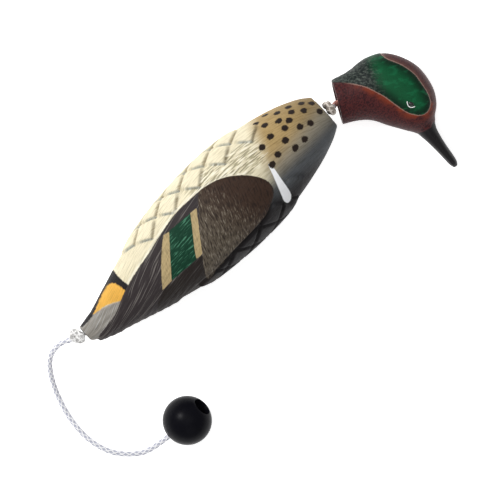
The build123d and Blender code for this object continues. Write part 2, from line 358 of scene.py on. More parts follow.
@dataclass(frozen=True)
class Braid:
    """A round plaited rope: sizes in mm."""

    radius: float = 1.9
    strands: int = 4
    pitch: float = 5.2
    relief: float = 0.12
    mean_weave: float = 0.75
    sides: int = 32
    spacing: float = 0.3
    end_shares: tuple[float, float] = (0.15, 0.8)
    knot_points: int = 200
    smooth_angle: float = 80.0

    def weave(self, along: np.ndarray) -> np.ndarray:
        """Work out how high the strands stand.

        Args:
            along: distance along the rope for each ring, in mm.

        Returns:
            Rows x sides numbers, 1 on a strand's back and about 0 between strands.
        """
        turn = self.strands * round_angles(self.sides)[None, :]
        lay = along[:, None] * math.tau / self.pitch
        return np.maximum(np.cos(turn + lay), np.cos(turn - lay))

    def surface(self, line: np.ndarray, outs: np.ndarray, along: np.ndarray) -> np.ndarray:
        """Lay rings of the plait round a line.

        Args:
            line: points in mm.
            outs: a direction across the line at each point.
            along: distance along the line at each point, in mm.

        Returns:
            Rows x sides x 3 places in mm.
        """
        ways = as_unit(np.gradient(line, axis=0))
        outs = as_unit(outs - (outs * ways).sum(1, keepdims=True) * ways)
        across = np.cross(ways, outs)
        turn = round_angles(self.sides)[None, :, None]
        swell = 1 + self.relief * (self.weave(along) - self.mean_weave)
        spokes = np.cos(turn) * outs[:, None] + np.sin(turn) * across[:, None]
        return line[:, None] + self.radius * swell[..., None] * spokes

    def marks(self, along: np.ndarray) -> dict[str, np.ndarray]:
        """Return what the plait's finish reads: the run, the turn and the weave at each point."""
        run, lay = np.meshgrid(along, round_angles(self.sides), indexing="ij")
        return {"run": run, "lay": lay, "over": self.weave(along)}

    def along_line(self, name: str, places: np.ndarray) -> bpy.types.Object:
        """Plait an open rope along a line.

        Args:
            name: the piece's name.
            places: the line's points in mm.

        Returns:
            The rope's mesh object.
        """
        run = run_along(places)
        along = np.linspace(0, run[-1], int(run[-1] / self.spacing) + 2)
        line = np.stack([np.interp(along, run, places[:, k]) for k in range(3)], 1)
        ways = as_unit(np.gradient(line, axis=0))
        outs = [np.array(Vector(ways[0]).orthogonal().normalized())]
        for way in ways[1:]:
            outs.append(as_unit(outs[-1] - way * (outs[-1] @ way)))
        rings = self.surface(line, np.array(outs), along)
        middles = line[:, None]
        small = [middles[:1] + (rings[:1] - middles[:1]) * k for k in self.end_shares]
        tails = [middles[-1:] + (rings[-1:] - middles[-1:]) * k for k in self.end_shares[::-1]]
        capped = np.concatenate([along[[0, 0]], along, along[[-1, -1]]])
        rings = np.concatenate([*small, rings, *tails])
        return rolled_tube(name, rings, self.marks(capped), self.smooth_angle)

    def lump(
        self, name: str, centre: Vector, axis: Vector, loop: float, swell: float, depth: float
    ) -> bpy.types.Object:
        """Tie the rope into a tight round knot that goes round twice and weaves three times.

        Args:
            name: the piece's name.
            centre: the knot's middle in mm.
            axis: the way the rope runs through it.
            loop: radius of the knot's turns, in mm.
            swell: how far the turns weave in and out, in mm.
            depth: how far they weave along the axis, in mm.

        Returns:
            The knot's mesh object.
        """
        t = np.linspace(0, math.tau, self.knot_points)[:, None]
        side = axis.orthogonal().normalized()
        third = np.array(axis.cross(side))
        side, way = np.array(side), np.array(axis)
        spokes = np.cos(2 * t) * side + np.sin(2 * t) * third
        weave = np.cos(3 * t) * spokes + depth / swell * np.sin(3 * t) * way
        line = np.array(centre) + loop * spokes + swell * weave
        run = run_along(line)
        lays = max(1, round(run[-1] / self.pitch))
        along = run / run[-1] * lays * self.pitch
        rings = self.surface(line, weave, along)
        rings[-1] = rings[0]
        return rolled_tube(name, rings, self.marks(along), self.smooth_angle)


# --------------------------------------------------------------------------- finishes


class Paint:
    """A material under construction, with short ways to place its nodes."""

    def __init__(self, name: str, roughness: float = 0.6, **sockets: float) -> None:
        """Start a material whose whole surface shares the given socket values.

        Args:
            name: the material's name.
            roughness: the shader's roughness.
            **sockets: other shader sockets, spaces written as underscores.
        """
        self.material = bpy.data.materials.new(name)
        self.material.use_nodes = True
        self.tree = self.material.node_tree
        self.shader = self.tree.nodes["Principled BSDF"]
        self.shader.inputs["Roughness"].default_value = roughness
        for socket, value in sockets.items():
            self.shader.inputs[socket.replace("_", " ")].default_value = value
        self.place = self.tree.nodes.new("ShaderNodeTexCoord").outputs["Object"]

    def follow_skin(self) -> None:
        """Lay later strokes along the mesh's own skin coordinates."""
        node = self.tree.nodes.new("ShaderNodeAttribute")
        node.attribute_name = SKIN_MARK
        self.place = node.outputs["Vector"]

    def put(self, node: bpy.types.Node, socket: int | str, value: object) -> None:
        """Link a socket, or set it where the value is a plain number or colour.

        Args:
            node: the node to feed.
            socket: its input, by place or name.
            value: what to feed it; nothing leaves it alone.
        """
        if isinstance(value, bpy.types.NodeSocket):
            self.tree.links.new(value, node.inputs[socket])
        elif value is not None:
            node.inputs[socket].default_value = value

    def mark(self, name: str, colour: bool = False) -> Socket:
        """Read an attribute that the mesh carries.

        Args:
            name: the attribute.
            colour: whether it holds colours.

        Returns:
            The value at each point.
        """
        node = self.tree.nodes.new("ShaderNodeAttribute")
        node.attribute_name = name
        return node.outputs["Color" if colour else "Fac"]

    def sum(self, kind: str, *terms: object) -> Socket:
        """Do one step of arithmetic on sockets or numbers.

        Args:
            kind: the operation.
            *terms: what it works on, in order.

        Returns:
            The result.
        """
        node = self.tree.nodes.new("ShaderNodeMath")
        node.operation = kind
        for socket, term in enumerate(terms):
            self.put(node, socket, term)
        return node.outputs[0]

    def times(self, first: object, second: object) -> Socket:
        """Multiply two sockets or numbers."""
        return self.sum("MULTIPLY", first, second)

    def plus(self, first: object, second: object) -> Socket:
        """Add two sockets or numbers."""
        return self.sum("ADD", first, second)

    def step(self, value: object, low: float, high: float, top: float = 1.0) -> Socket:
        """Turn a number into a smooth share from 0 at low to top at high.

        Args:
            value: the number.
            low: where the share starts.
            high: where it is complete; it may be the smaller of the two.
            top: the greatest share.

        Returns:
            The share.
        """
        node = self.tree.nodes.new("ShaderNodeMapRange")
        node.interpolation_type = "SMOOTHSTEP"
        self.put(node, "Value", value)
        for socket, number in (("From Min", low), ("From Max", high), ("To Max", top)):
            node.inputs[socket].default_value = number
        return node.outputs["Result"]

    def strokes(
        self, length: float, width: float, turn: float = 0.0, detail: float = 2.0, seed: float = 0.0
    ) -> Socket:
        """Brush or feather strokes as stretched noise.

        Args:
            length: a stroke's length in mm.
            width: its width in mm.
            turn: its direction in plan, from X, in degrees.
            detail: layers of finer noise.
            seed: shifts the pattern.

        Returns:
            The noise's value, about 0.5 on average.
        """
        layout = self.tree.nodes.new("ShaderNodeMapping")
        layout.vector_type = "TEXTURE"
        self.put(layout, "Vector", self.place)
        layout.inputs["Location"].default_value = (seed * MM, 0, 0)
        layout.inputs["Rotation"].default_value = (0, 0, math.radians(turn))
        layout.inputs["Scale"].default_value = (length * MM, width * MM, width * MM)
        speckle = self.tree.nodes.new("ShaderNodeTexNoise")
        self.put(speckle, "Vector", layout.outputs[0])
        speckle.inputs["Scale"].default_value = 1.0
        speckle.inputs["Detail"].default_value = detail
        return speckle.outputs[0]

    def mix(self, share: object, under: object, over: object, blend: str = "MIX") -> Socket:
        """Lay one colour over another by a share.

        Args:
            share: how much of the upper colour shows.
            under: the lower colour.
            over: the upper colour.
            blend: MIX covers the lower colour, MULTIPLY darkens it.

        Returns:
            The mixed colour.
        """
        node = self.tree.nodes.new("ShaderNodeMix")
        node.data_type = "RGBA"
        node.blend_type = blend
        self.put(node, 0, share)
        self.put(node, 6, (*under, 1) if isinstance(under, tuple) else under)
        self.put(node, 7, (*over, 1) if isinstance(over, tuple) else over)
        return node.outputs[2]

    def streak(
        self,
        strokes: object,
        low: float,
        high: float,
        under: object,
        over: object,
        top: float = 1.0,
    ) -> Socket:
        """Lay a colour over another where strokes pass from low to high.

        Args:
            strokes: the noise to follow.
            low: where the upper colour starts to show.
            high: where it shows fully; it may be the smaller of the two.
            under: the lower colour.
            over: the upper colour.
            top: the upper colour's greatest share.

        Returns:
            The streaked colour.
        """
        return self.mix(self.step(strokes, low, high, top), under, over)

    def finish(
        self, colour: object, height: object = None, lift: float = 0.2
    ) -> bpy.types.Material:
        """Connect the colour and a bump.

        Args:
            colour: the base colour.
            height: the bump's height, 0 to 1.
            lift: the bump's full height in mm.

        Returns:
            The finished material.
        """
        self.put(self.shader, "Base Color", (*colour, 1) if isinstance(colour, tuple) else colour)
        if height is not None:
            bump = self.tree.nodes.new("ShaderNodeBump")
            bump.inputs["Distance"].default_value = lift * MM
            bump.inputs["Strength"].default_value = 1.0
            self.put(bump, "Height", height)
            self.put(self.shader, "Normal", bump.outputs[0])
        return self.material

    def vary_roughness(self, share: object, low: float, high: float) -> None:
        """Let the roughness follow a pattern between two values.

        Args:
            share: the pattern, 0 to 1.
            low: the roughness at 0.
            high: the roughness at 1.
        """
        node = self.tree.nodes.new("ShaderNodeMapRange")
        self.put(node, "Value", share)
        node.inputs["To Min"].default_value = low
        node.inputs["To Max"].default_value = high
        self.put(self.shader, "Roughness", node.outputs["Result"])


@dataclass(frozen=True)
class MouldedPlastic:
    """Plain moulded plastic with a faint skin and handling marks."""

    name: str
    colour: Colour
    roughness: float
    skin: float = 0.03

    def material(self) -> bpy.types.Material:
        """Build the material."""
        paint = Paint(self.name, self.roughness)
        wear = paint.strokes(1.6, 1.2, detail=4)
        darker = tuple(c * 0.8 for c in self.colour)
        paint.vary_roughness(paint.strokes(6, 6), self.roughness - 0.05, self.roughness + 0.08)
        return paint.finish(paint.mix(wear, darker, self.colour), wear, self.skin)


@dataclass(frozen=True)
class BrightSteel:
    """Turned steel of the washer."""

    name: str = "zinc_plated_steel"

    def material(self) -> bpy.types.Material:
        """Build the material."""
        paint = Paint(self.name, 0.3, Metallic=1.0)
        lines = paint.strokes(8, 0.25, turn=30)
        return paint.finish(paint.mix(lines, (0.5, 0.5, 0.5), (0.65, 0.65, 0.64)), lines, 0.01)


@dataclass(frozen=True)
class PlaitedRope:
    """Soft white plait, with a dye that may have rubbed off the head."""

    name: str
    colour: Colour = (0.96, 0.96, 0.98)
    shade: Colour = (0.50, 0.51, 0.60)
    dyed: Colour | None = None
    dye_from: float = 0.0
    dye_to: float = 1.0
    yarn_length: float = 0.65
    yarns: float = 5.0

    def material(self) -> bpy.types.Material:
        """Build the material."""
        paint = Paint(self.name, 0.75, Sheen_Weight=0.25, Sheen_Roughness=0.5)
        run = paint.times(paint.mark("run"), math.tau / self.yarn_length)
        lay = paint.times(paint.mark("lay"), self.yarns)
        yarn = paint.sum("MULTIPLY_ADD", paint.sum("SINE", paint.plus(run, lay)), 0.5, 0.5)
        fuzz = paint.strokes(0.5, 0.5, detail=4)
        height = paint.times(yarn, fuzz)
        lit = paint.streak(height, 0.0, 0.3, self.colour, (1.0, 1.0, 1.0), 0.35)
        colour = paint.streak(paint.mark("over"), 0.35, 0.85, self.shade, lit)
        if self.dyed:
            wet = paint.plus(paint.mark("run"), paint.times(fuzz, 2.0))
            colour = paint.streak(wet, self.dye_from, self.dye_to, colour, self.dyed, 0.92)
        return paint.finish(colour, height, 0.16)


@dataclass(frozen=True)
class InnerRope:
    """The plait's colour for hidden rope that stays as turned solids."""

    name: str = "rope_inside"

    def material(self) -> bpy.types.Material:
        """Build the material."""
        paint = Paint(self.name, 0.8, Sheen_Weight=0.25)
        weave = paint.strokes(1.6, 0.7, turn=35, detail=3)
        return paint.finish(paint.mix(weave, (0.5, 0.5, 0.54), (0.85, 0.85, 0.87)), weave, 0.3)


@dataclass(frozen=True)
class FoamPaint:
    """The painted foam: plumage zones over a smooth ground colour."""

    name: str = "painted_foam_plumage"
    # painted shade in the grooves of the carved barbs
    ground_shade: Colour = (0.60, 0.58, 0.50)
    # painted shade and painted highlight on the two sides of each deeper cut
    cut_shade: Colour = (0.30, 0.27, 0.17)
    cut_highlight: Colour = (0.97, 0.93, 0.78)
    vane: Colour = (0.036, 0.029, 0.030)
    vane_light: Colour = (0.15, 0.135, 0.125)
    covert_front: Colour = (0.043, 0.023, 0.015)
    covert: Colour = (0.100, 0.081, 0.059)
    covert_light: Colour = (0.215, 0.184, 0.143)
    covert_shade: Colour = (0.016, 0.010, 0.008)
    band: Colour = (0.46, 0.35, 0.18)
    band_shade: Colour = (0.25, 0.19, 0.10)
    green: Colour = (0.004, 0.040, 0.020)
    green_light: Colour = (0.06, 0.20, 0.12)
    back: Colour = (0.020, 0.015, 0.013)
    back_light: Colour = (0.09, 0.085, 0.08)
    saffron: Colour = (0.80, 0.43, 0.075)
    saffron_shade: Colour = (0.45, 0.26, 0.05)
    vent: Colour = (0.014, 0.012, 0.014)
    tail: Colour = (0.27, 0.25, 0.22)
    tail_light: Colour = (0.5, 0.5, 0.49)
    tail_shade: Colour = (0.12, 0.11, 0.10)
    stripe: Colour = (0.92, 0.93, 0.95)
    spot: Colour = (0.018, 0.011, 0.008)
    mottle: Colour = (0.82, 0.80, 0.76)
    relief: float = 0.42

    def carved_ground(self, paint: Paint, barbs: Socket) -> tuple[Socket, Socket, Socket]:
        """Paint shade into the barbs, and shade and highlights along the cuts beside the wing.

        Args:
            paint: the material under construction.
            barbs: the long strokes all over the body.

        Returns:
            The colour, the height of barbs and cuts together, and the cuts' own depth.
        """
        cuts, here = paint.strokes(9, 1.3, turn=-4, detail=1, seed=17), paint.mark("cut")
        depth = paint.times(paint.sum("SUBTRACT", paint.step(cuts, 0.34, 0.60), 0.56), here)
        carved = paint.plus(barbs, paint.times(depth, 0.45))
        # painted shade where the carved barbs and cuts run low
        shade = paint.step(carved, 0.53, 0.38, 0.6)
        colour = paint.mix(shade, paint.mark("ground", colour=True), self.ground_shade, "MULTIPLY")
        # painted shade on each cut's low side, painted highlight on its high side
        low = paint.times(paint.step(cuts, 0.48, 0.38, 0.75), here)
        high = paint.times(paint.step(cuts, 0.55, 0.64, 0.7), here)
        colour = paint.mix(high, paint.mix(low, colour, self.cut_shade), self.cut_highlight)
        return colour, carved, depth

    def covert_feathers(self, paint: Paint, ticks: Socket, wisps: Socket) -> Socket:
        """Paint the shoulder's covert, darker and plainer in front.

        Args:
            paint: the material under construction.
            ticks: the short strokes across the wing.
            wisps: slanting strokes that break the pale ticks up.

        Returns:
            The covert's colour.
        """
        forward = paint.mark("forward")
        colour = paint.streak(forward, -34, 12, self.covert, self.covert_front)
        colour = paint.streak(ticks, 0.5, 0.36, colour, self.covert_shade, 0.75)
        pale = paint.times(paint.step(ticks, 0.52, 0.66), paint.step(wisps, 0.38, 0.58))
        pale = paint.times(pale, paint.step(forward, 14, -10))
        return paint.mix(pale, colour, self.covert_light)

    def material(self) -> bpy.types.Material:
        """Build the material."""
        paint = Paint(self.name, 0.62, Specular_IOR_Level=0.14)
        fine = paint.strokes(0.8, 0.8, detail=4)
        cloud = paint.strokes(9, 7, detail=3)
        wobble = paint.sum("SUBTRACT", paint.strokes(1.6, 1.6, detail=2), 0.5)
        paint.follow_skin()
        barbs = paint.strokes(11, 0.8, turn=-6, detail=3)
        vanes = paint.strokes(30, 0.95, turn=-9, detail=2, seed=7)
        gloss = paint.strokes(9, 0.7, turn=3, detail=2, seed=5)
        ticks = paint.strokes(4.6, 1.0, turn=-66, detail=2, seed=3)
        wisps = paint.strokes(3.6, 1.1, turn=-38, detail=2, seed=11)

        colour, carved, depth = self.carved_ground(paint, barbs)
        tail = paint.streak(vanes, 0.46, 0.7, self.tail, self.tail_light, 0.6)
        tail = paint.streak(barbs, 0.47, 0.34, tail, self.tail_shade, 0.5)
        saffron = paint.streak(barbs, 0.5, 0.36, self.saffron, self.saffron_shade, 0.6)
        back = paint.streak(vanes, 0.56, 0.7, self.back, self.back_light, 0.6)
        # Each zone: its mark, how soft its edge is and how far the edge wanders, in mm.
        zones = (
            ("tail", 1.2, 2.0, tail),
            ("vent", 0.5, 1.4, self.vent),
            ("saffron", 0.6, 1.8, saffron),
            ("wing", 0.35, 0.9, paint.streak(vanes, 0.53, 0.68, self.vane, self.vane_light)),
            ("scapular", 0.5, 0.9, back),
            ("bands", 0.3, 0.7, paint.streak(ticks, 0.5, 0.36, self.band, self.band_shade, 0.5)),
            ("speculum", 0.3, 0.7, paint.streak(gloss, 0.53, 0.68, self.green, self.green_light)),
            ("covert", 0.4, 0.9, self.covert_feathers(paint, ticks, wisps)),
            ("stripe", 0.3, 0.3, self.stripe),
            ("spots", 0.5, 1.9, self.spot),
        )
        for zone, soft, wander, coat in zones:
            edge = paint.plus(paint.mark(zone), paint.times(wobble, wander))
            colour = paint.streak(edge, -soft, soft, colour, coat)
        colour = paint.mix(paint.step(cloud, 0.55, 0.35, 0.2), colour, self.mottle, "MULTIPLY")

        height = paint.plus(carved, paint.times(fine, 0.3))
        height = paint.plus(height, paint.times(depth, 0.8))
        feathers = paint.plus(vanes, paint.times(ticks, 0.8))
        on_wing = paint.step(paint.mark("wing"), -0.2, 0.4)
        height = paint.plus(height, paint.times(feathers, on_wing))
        paint.vary_roughness(fine, 0.5, 0.72)
        return paint.finish(colour, height, self.relief)


@dataclass(frozen=True)
class HeadPaint:
    """The painted head: rust, a green cheek patch with a pale edge, a dark nape and bill."""

    name: str = "painted_head_plumage"
    rust: Colour = (0.082, 0.018, 0.018)
    rust_dark: Colour = (0.030, 0.008, 0.010)
    glow: Colour = (0.20, 0.034, 0.014)
    crown: Colour = (0.115, 0.046, 0.038)
    edge: Colour = (0.34, 0.21, 0.17)
    green: Colour = (0.004, 0.085, 0.030)
    green_dark: Colour = (0.002, 0.018, 0.008)
    green_light: Colour = (0.010, 0.17, 0.066)
    nape: Colour = (0.008, 0.013, 0.012)
    nape_light: Colour = (0.078, 0.094, 0.080)
    bill: Colour = (0.012, 0.011, 0.012)
    relief: float = 0.4

    def rusty_skin(self, paint: Paint, depth: Socket, scales: Socket, broad: Socket) -> Socket:
        """Paint the rust, glowing below the cheek patch and paler along the crown's edge.

        Args:
            paint: the material under construction.
            depth: how far inside the cheek patch a point lies.
            scales: the small scales of the skin.
            broad: the broad strokes.

        Returns:
            The rust colour.
        """
        below = paint.mark("belowness")
        colour = paint.streak(scales, 0.62, 0.36, self.rust, self.rust_dark)
        warm = paint.times(paint.step(depth, -6.5, -0.2), paint.step(below, -0.5, 2.0))
        warm = paint.times(warm, paint.step(broad, 0.25, 0.6))
        warm = paint.times(warm, paint.step(paint.mark("along"), 7, 24))
        colour = paint.mix(warm, colour, self.glow)
        pale = paint.times(paint.step(depth, -3.2, -0.4), paint.step(below, -0.5, -3.0))
        return paint.mix(pale, colour, self.crown)

    def cheek_patch(self, paint: Paint, depth: Socket, fine: Socket, broad: Socket) -> Socket:
        """Paint the green of the cheek, darker at its edge.

        Args:
            paint: the material under construction.
            depth: how far inside the cheek patch a point lies.
            fine: the fine speckle.
            broad: the broad strokes.

        Returns:
            The green colour.
        """
        colour = paint.streak(depth, 0.4, 8.5, self.green_dark, self.green)
        colour = paint.streak(broad, 0.5, 0.72, colour, self.green_light, 0.5)
        return paint.streak(fine, 0.5, 0.35, colour, self.green_dark, 0.35)

    def material(self) -> bpy.types.Material:
        """Build the material."""
        paint = Paint(self.name, 0.5, Specular_IOR_Level=0.14)
        along = paint.mark("along")
        scales = paint.strokes(1.5, 1.0, turn=20, detail=3)
        fine = paint.strokes(0.55, 0.55, detail=4)
        broad = paint.strokes(7, 4, turn=-30, detail=2)
        ticks = paint.strokes(2.6, 1.4, turn=-50, detail=4, seed=4)
        wobble = paint.times(paint.sum("SUBTRACT", scales, 0.5), 1.1)
        depth = paint.plus(paint.mark("patch"), wobble)

        flecks = paint.times(paint.step(ticks, 0.42, 0.66), paint.step(fine, 0.3, 0.55))
        nape = paint.mix(flecks, self.nape, self.nape_light)
        forward = paint.plus(along, paint.times(wobble, 8.0))
        green = self.cheek_patch(paint, depth, fine, broad)
        patch = paint.streak(forward, 24, 36, nape, green)
        rust = self.rusty_skin(paint, depth, scales, broad)
        colour = paint.streak(depth, -0.3, 0.3, rust, patch)
        line = paint.step(paint.sum("ABSOLUTE", paint.plus(depth, 0.15)), 0.6, 0.1, 0.7)
        line = paint.times(line, paint.step(along, 4, 16))
        colour = paint.mix(line, colour, self.edge)
        on_bill = paint.plus(paint.mark("bill"), wobble)
        colour = paint.streak(on_bill, -0.3, 0.3, colour, self.bill)

        rough = paint.times(scales, paint.step(along, 40, 12))
        paint.vary_roughness(fine, 0.36, 0.58)
        return paint.finish(colour, paint.plus(rough, paint.times(fine, 0.25)), self.relief)


@dataclass(frozen=True)
class Lacquer:
    """Glossy paint or enamel on the small parts."""

    name: str
    colour: Colour
    roughness: float = 0.15
    shine: float = 0.5
    coat: float = 0.4

    def material(self) -> bpy.types.Material:
        """Build the material."""
        paint = Paint(
            self.name,
            self.roughness,
            Specular_IOR_Level=self.shine,
            Coat_Weight=self.coat,
            Coat_Roughness=0.08,
        )
        cloud = paint.strokes(1.2, 1.2, detail=3)
        paler = tuple(min(1.0, c * 1.25 + 0.002) for c in self.colour)
        return paint.finish(paint.mix(cloud, self.colour, paler), cloud, 0.01)


def rest_on_floor(piece: bpy.types.Object) -> None:
    """Press a piece's lowest points flat where they would sink into the floor."""
    for vertex in piece.data.vertices:
        vertex.co.z = max(vertex.co.z, FLOOR_GAP * MM)


def dress(piece: bpy.types.Object, *materials: bpy.types.Material) -> None:
    """Give a piece its materials in order.

    Args:
        piece: the object to dress.
        *materials: its materials.
    """
    piece.data.materials.clear()
    for material in materials:
        piece.data.materials.append(material)


# --------------------------------------------------------------------------- foam body


@dataclass
class FoamBody:
    """The moulded foam body with folded wings and grip diamonds."""

    tail_tip: float = -135.0
    middle: float = 40.0
    roundness: float = 2.3
    stations: tuple[tuple[float, float, float, float], ...] = (
        (1.5, 0.8, 6.6, 8.4),
        (9, -0.7, 9.2, 11),
        (31, -0.5, 15.9, 17.5),
        (59, 0, 24.6, 25.5),
        (87, 0, 31.2, 32),
        (115, 0.3, 34.4, 36.4),
        (140, 0.6, 35.2, 37.95),
        (165, 0.6, 33.4, 36.6),
        (190, 0.8, 28.8, 31.5),
        (210, 0.6, 22.8, 24.8),
        (222, 0.3, 17.4, 18.6),
        (228, 0, 13.4, 14),
    )
    rows: int = 262
    sides: int = 272
    wing_rise: float = 1.2
    covert_rise: float = 0.8
    covert_edge: float = 0.45
    vane_rise: float = 0.13
    vane_pitch: float = 3.1
    barb_rise: float = 0.11
    foam_rise: float = 0.06
    tail_rise: float = 0.22
    tail_pitch: float = 4.4
    most_rise: float = 2.02
    pad_rise: float = 1.95
    pad_step: float = 24.0
    pad_turn: float = 41.0
    pad_start: float = 80.5
    pad_first: tuple[float, float] = (64.0, 84.0)
    pad_last: tuple[float, float] = (168.0, 180.0)
    pad_rows: float = 45.0
    low_row: float = 30.0
    groove: tuple[float, float] = (0.91, 0.11)
    ends: Outline = (
        (0.06, 0.0), (0.45, 0.0), (0.8, 0.0), (0.93, 0.0), (0.975, 0.25), (0.995, 0.6)
    )
    end_gap: float = 1.1

    wing: Outline = (
        (-130, -6.5), (-109.5, -4), (-102, -0.5), (-97, 2), (-89, 5), (-74.5, 9), (-63.5, 11),
        (-51.5, 14.5), (-44.5, 16), (-33.5, 18.4), (-25, 19), (-9, 18.7), (-3, 18), (5.5, 16),
        (13, 12.5), (22, 5.5), (28, -2), (31, -8.5), (30.5, -14.5), (27.5, -18.5), (21, -22),
        (14, -24.8), (2, -26.2), (-19, -27), (-39, -28), (-60, -27), (-76, -27), (-88, -40),
        (-128, -40), (-131, -12),
    )
    covert: Outline = (
        (-9, 18.7), (-3, 18), (5.5, 16), (13, 12.5), (22, 5.5), (28, -2), (31, -8.5), (30.5, -14.5),
        (27.5, -18.5), (21, -22), (14, -24.8), (2, -26.2), (-19, -27), (-32, -28.2), (-47, -29),
        (-44, -25), (-40, -18.5), (-34, -11.5), (-26, -1), (-16, 10.5),
    )
    rear_band: Outline = (
        (-46.8, 13), (-42, 12), (-52, 1.2), (-58.5, -6.8), (-64, -13), (-73.3, -13.3),
        (-64, -2.6), (-58.6, 2.8), (-53, 8),
    )
    front_band: Outline = (
        (-23, 11.5), (-17.5, 11), (-26, -0.3), (-35.9, -13.9), (-41.6, -13.9), (-38.3, -8.7),
        (-29.6, 2.8),
    )
    speculum: Outline = (
        (-42, 12.5), (-23, 11.5), (-30, 2), (-38.3, -8.7), (-41.6, -13.9), (-64.2, -13), (-52, 1),
    )
    scapular: Outline = (
        (-35.9, -14.2), (-73, -13.8), (-81, -16.7), (-86, -21), (-78, -40), (-30, -40), (-44, -25),
        (-40, -18.5),
    )
    vent: Outline = (
        (-88.5, 40), (-89.4, 16), (-89.4, 11.5), (-88.0, 3), (-93, 1), (-97, 6), (-104, 9),
        (-112, 9),
        (-121, 6.7), (-127, 5.9), (-134, 5.6), (-134, 40),
    )
    saffron: Outline = (
        (-94.5, 12.5), (-96.5, 14.4), (-99.5, 15), (-105.5, 13.4), (-112, 10.5), (-118, 7.7),
        (-121.5, 7), (-112.5, 6), (-105.7, 4), (-101, 1.2), (-96.5, -1), (-92.2, 1.5), (-93.3, 8.3),
    )
    tail: Outline = (
        (-97, 2), (-101, 1.5), (-106, 4), (-112.5, 6), (-120.5, 8), (-122, 40), (-150, 40),
        (-150, -40),
        (-118, -40), (-112, -12), (-104, -4),
    )
    stripe: Outline = (
        (39.5, 1.5), (40.3, -5), (38.9, -12.7), (38, -20), (36.8, -26), (34.2, -28.8),
        (30.8, -29.4),
        (29.6, -26.5), (31.5, -21.5), (33.9, -15), (37, -6),
    )
    spots: Outline = (
        (85, 15), (90, 10), (76.5, 19), (82.5, 10), (90.5, 2), (68, 21.5), (75.5, 15), (61, 26),
        (65, 16.5), (70.5, 12), (52, 26), (56, 21), (64.5, 10), (73, 3.5), (80, 0.5),
        (53.5, 12.5), (59, 3.5), (69.5, -5), (44, 11), (60.5, -5), (48.5, 0), (41, -2.5),
    )
    spot_radius: float = 2.35
    cream: Colour = (0.83, 0.755, 0.555)
    cream_low: Colour = (0.76, 0.69, 0.49)
    buff: Colour = (0.43, 0.30, 0.132)
    # painted shade: the breast darkens towards its front, where it curves away from the light
    breast: Colour = (0.20, 0.145, 0.07)
    grey: Colour = (0.24, 0.235, 0.205)
    slate: Colour = (0.085, 0.092, 0.10)
    black: Colour = (0.014, 0.012, 0.013)
    # painted shadows along the pads' edges that face away from the light
    fore_groove_shadow: Colour = (0.14, 0.105, 0.05)
    aft_groove_shadow: Colour = (0.24, 0.27, 0.26)
    # a painted highlight along the wing's upper edge
    wing_edge_highlight: Colour = (0.97, 0.95, 0.84)

    def pads(
        self, along: np.ndarray, turn: np.ndarray
    ) -> tuple[np.ndarray, np.ndarray, np.ndarray]:
        """Lay out the grip diamonds in rows round the belly and the back.

        Args:
            along: distance from the tail tip in mm.
            turn: degrees round from the belly's middle line, 0 to 180.

        Returns:
            Each point's share of a pad's height, and how much it lies in the shade on a pad's
            breast side and on its tail side.
        """
        high, fore_shadow, aft_shadow = (np.zeros(along.shape) for _ in range(3))
        groove, half = self.groove
        for first, round_way in zip(self.pad_first, (turn, 180 - turn)):
            p, q = (along - self.pad_start) / self.pad_step, round_way / self.pad_turn
            s, t = p + q, p - q
            near_s, near_t = np.rint(s), np.rint(t)
            ds, dt = 2 * (s - near_s), 2 * (t - near_t)
            pad_along = self.pad_start + self.pad_step * (near_s + near_t) / 2
            pad_turn = np.abs(self.pad_turn * (near_s - near_t) / 2)
            last = np.where(pad_turn > self.low_row, self.pad_last[1], self.pad_last[0])
            here = (pad_turn < self.pad_rows) & (pad_along > first) & (pad_along < last)
            edge = np.maximum(np.abs(ds), np.abs(dt))
            high = np.maximum(high, here * soft_step(0.93, 0.82, edge))
            # painted shadow lines along each pad's breast-side and tail-side edges
            line = here * np.clip(1 - np.abs(ds - groove) / half, 0, 1)
            fore_shadow = np.maximum(fore_shadow, line * soft_step(0.95, 0.3, dt))
            line = here * np.clip(1 - np.abs(dt + groove) / half, 0, 1)
            aft_shadow = np.maximum(aft_shadow, line * soft_step(-0.75, 0.0, ds))
        return high, fore_shadow, aft_shadow

    def ground(self, x: np.ndarray, y: np.ndarray) -> np.ndarray:
        """Blend the ground colour over the plan, with painted shade at the breast's front.

        Args:
            x: places along the body in mm.
            y: places from back to belly in mm.

        Returns:
            One colour a point.
        """
        ahead = x - 40
        coats = (
            (soft_step(24, 2, y) * 0.8, self.cream_low),
            (soft_step(30, 46, x - 0.42 * np.maximum(y, 0)), self.buff),
            # painted shade, darker towards the front of the breast
            (soft_step(58, 92, x) * 0.62, self.breast),
            (soft_step(6, -9, y - 0.10 * ahead) * soft_step(24, 40, x) * 0.75, self.grey),
            (soft_step(-4, -17, y - 0.04 * ahead) * soft_step(5, 20, x), self.slate),
            (soft_step(-16, -26, y + 0.10 * np.maximum(x - 50, 0)), self.black),
            (soft_step(0, -6, y) * soft_step(-60, -75, x), self.black),
        )
        colour = np.broadcast_to(np.array(self.cream), (*x.shape, 3))
        for share, coat in coats:
            colour = lay_over(colour, share, coat)
        return colour

